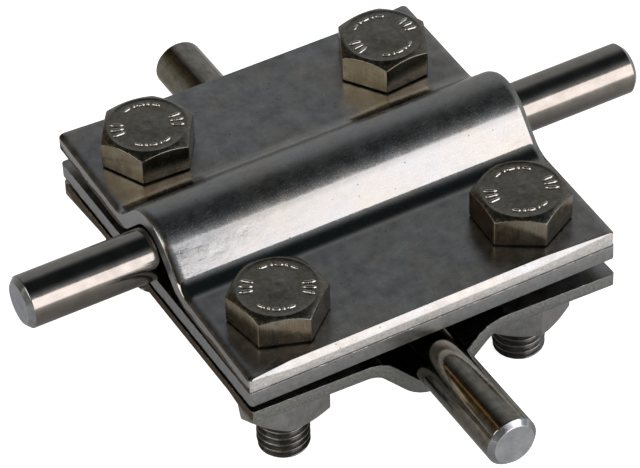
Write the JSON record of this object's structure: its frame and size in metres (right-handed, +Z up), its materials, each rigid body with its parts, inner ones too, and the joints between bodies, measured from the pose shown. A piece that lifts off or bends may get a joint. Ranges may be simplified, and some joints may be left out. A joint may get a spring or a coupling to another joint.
{
  "type": "cross clamp block",
  "caption": "Cross clamp block: pressed channel plates bolted over a flat plate hold crossing round rods at right angles.",
  "frame": {"origin": "centre of the block's footprint at the height of the lowest bolt tips, below the crossing of the rods", "axes": "+X along the upper rod to the right, +Y along the lower rod to the back, +Z up through the plates towards the bolt heads"},
  "size_m": [0.1018, 0.1024, 0.0341],
  "materials": {
    "plate_steel": "satin, sheared and pressed sheet",
    "rod_steel": "drawn bar, faintly lined",
    "bolt_steel": "satin, forged head",
    "nut_steel": "satin",
    "washer_steel": "satin"
  },
  "bodies": {
    "clamp": {"middle_plate": "plate_steel", "upper_plate": "plate_steel", "lower_plate": "plate_steel", "washer_front_left": "washer_steel", "washer_front_right": "washer_steel", "washer_back_left": "washer_steel", "washer_back_right": "washer_steel"},
    "upper_rod": {"upper_rod": "rod_steel"},
    "lower_rod": {"lower_rod": "rod_steel"},
    "bolt_front_left": {"bolt_front_left": "bolt_steel"},
    "nut_front_left": {"nut_front_left": "nut_steel"},
    "bolt_front_right": {"bolt_front_right": "bolt_steel"},
    "nut_front_right": {"nut_front_right": "nut_steel"},
    "bolt_back_left": {"bolt_back_left": "bolt_steel"},
    "nut_back_left": {"nut_back_left": "nut_steel"},
    "bolt_back_right": {"bolt_back_right": "bolt_steel"},
    "nut_back_right": {"nut_back_right": "nut_steel"}
  },
  "joints": [
    {"name": "upper_rod_slide", "type": "slide", "parent": "clamp", "child": "upper_rod", "axis": [1, 0, 0], "range_m": [-0.02, 0.02]},
    {"name": "lower_rod_slide", "type": "slide", "parent": "clamp", "child": "lower_rod", "axis": [0, 1, 0], "range_m": [-0.02, 0.02]},
    {"name": "bolt_front_left_turn", "type": "hinge", "parent": "clamp", "child": "bolt_front_left", "pos_m": [-0.02, -0.02026, 0.02622], "axis": [0, -0.0461, 0.9989], "range_deg": [0, 2160]},
    {"name": "nut_front_left_travel", "type": "slide", "parent": "clamp", "child": "nut_front_left", "axis": [0, 0.0461, -0.9989], "range_m": [0, 0.0075]},
    {"name": "bolt_front_right_turn", "type": "hinge", "parent": "clamp", "child": "bolt_front_right", "pos_m": [0.02, -0.02026, 0.02622], "axis": [0, -0.0461, 0.9989], "range_deg": [0, 1800]},
    {"name": "nut_front_right_travel", "type": "slide", "parent": "clamp", "child": "nut_front_right", "axis": [0, 0.0461, -0.9989], "range_m": [0, 0.00625]},
    {"name": "bolt_back_left_turn", "type": "hinge", "parent": "clamp", "child": "bolt_back_left", "pos_m": [-0.02, 0.01965, 0.02806], "axis": [0, -0.0461, 0.9989], "range_deg": [0, 1800]},
    {"name": "nut_back_left_travel", "type": "slide", "parent": "clamp", "child": "nut_back_left", "axis": [0, 0.0461, -0.9989], "range_m": [0, 0.00625]},
    {"name": "bolt_back_right_turn", "type": "hinge", "parent": "clamp", "child": "bolt_back_right", "pos_m": [0.02, 0.01965, 0.02806], "axis": [0, -0.0461, 0.9989], "range_deg": [0, 1080]},
    {"name": "nut_back_right_travel", "type": "slide", "parent": "clamp", "child": "nut_back_right", "axis": [0, 0.0461, -0.9989], "range_m": [0, 0.00375]}
  ],
  "couplings": [
    {"joint": "nut_front_left_travel", "follows": "bolt_front_left_turn", "m_per_rad": 0.00019894},
    {"joint": "nut_front_right_travel", "follows": "bolt_front_right_turn", "m_per_rad": 0.00019894},
    {"joint": "nut_back_left_travel", "follows": "bolt_back_left_turn", "m_per_rad": 0.00019894},
    {"joint": "nut_back_right_travel", "follows": "bolt_back_right_turn", "m_per_rad": 0.00019894}
  ]
}
